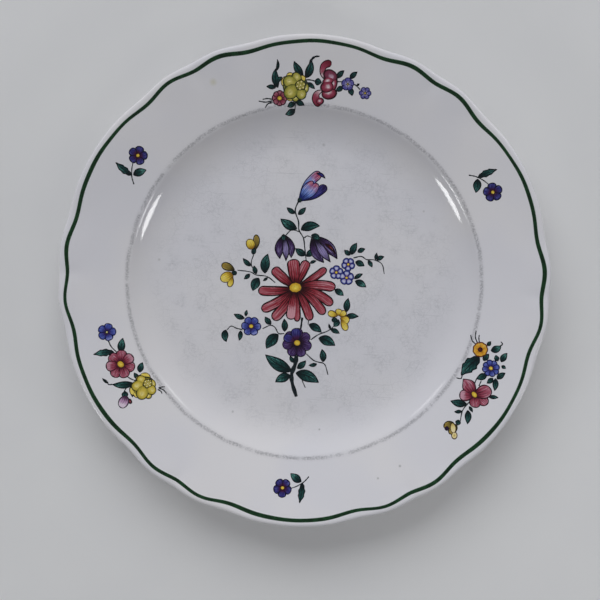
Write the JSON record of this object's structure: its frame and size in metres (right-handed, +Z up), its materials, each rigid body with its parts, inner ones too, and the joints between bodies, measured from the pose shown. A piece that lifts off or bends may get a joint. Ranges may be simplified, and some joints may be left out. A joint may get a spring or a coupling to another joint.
{
  "type": "china dinner plate",
  "caption": "Round china dinner plate with a gently lobed edge, sunken well, foot ring, green rim line and enamel flower sprays.",
  "frame": {"origin": "centre of the foot ring's standing face, in the plane that the plate rests on", "axes": "+Z up, square to the rim and out of the eating face; +Y towards the lobe with the top spray; +X to the right as the face is looked at"},
  "size_m": [0.2496, 0.2512, 0.0251],
  "materials": {
    "china": "unglazed off-white biscuit, matt",
    "glaze": "glossy transparent glaze over white earthenware, lightly crazed",
    "rim_green": "hand-banded dark green, glossy",
    "leaf_enamel": "blue-green enamel, glossy",
    "ink_enamel": "near-black printed line, glossy",
    "yellow_enamel": "yellow enamel, glossy",
    "red_enamel": "rose-red enamel, glossy",
    "blue_enamel": "blue enamel, glossy",
    "purple_enamel": "purple enamel, glossy"
  },
  "bodies": {
    "root": {"blue_flower": "blue_enamel", "buttercup": "yellow_enamel", "centre_leaves": "leaf_enamel", "centre_stems": "ink_enamel", "china_body": "china", "daisy_eye": "yellow_enamel", "daisy_petals": "red_enamel", "flower_eyes": "yellow_enamel", "forget_me_nots": "blue_enamel", "glaze_coat": "glaze", "left_bellflower": "purple_enamel", "left_spray_blue_flower": "blue_enamel", "left_spray_bud": "purple_enamel", "left_spray_leaves": "leaf_enamel", "left_spray_red_flower": "red_enamel", "left_spray_rose": "yellow_enamel", "left_spray_stems": "ink_enamel", "purple_flower": "purple_enamel", "right_bellflower": "purple_enamel", "right_spray_blue_flower": "blue_enamel", "right_spray_bud": "yellow_enamel", "right_spray_daisy": "yellow_enamel", "right_spray_leaves": "leaf_enamel", "right_spray_red_flower": "red_enamel", "right_spray_stems": "ink_enamel", "rim_line": "rim_green", "sprig_flowers": "blue_enamel", "sprig_leaves": "leaf_enamel", "sprig_stems": "ink_enamel", "top_spray_blue_flowers": "blue_enamel", "top_spray_daisy": "red_enamel", "top_spray_leaves": "leaf_enamel", "top_spray_pea_flower": "red_enamel", "top_spray_rose": "yellow_enamel", "top_spray_stems": "ink_enamel", "tulip": "blue_enamel", "yellow_buds": "yellow_enamel"}
  },
  "joints": []
}
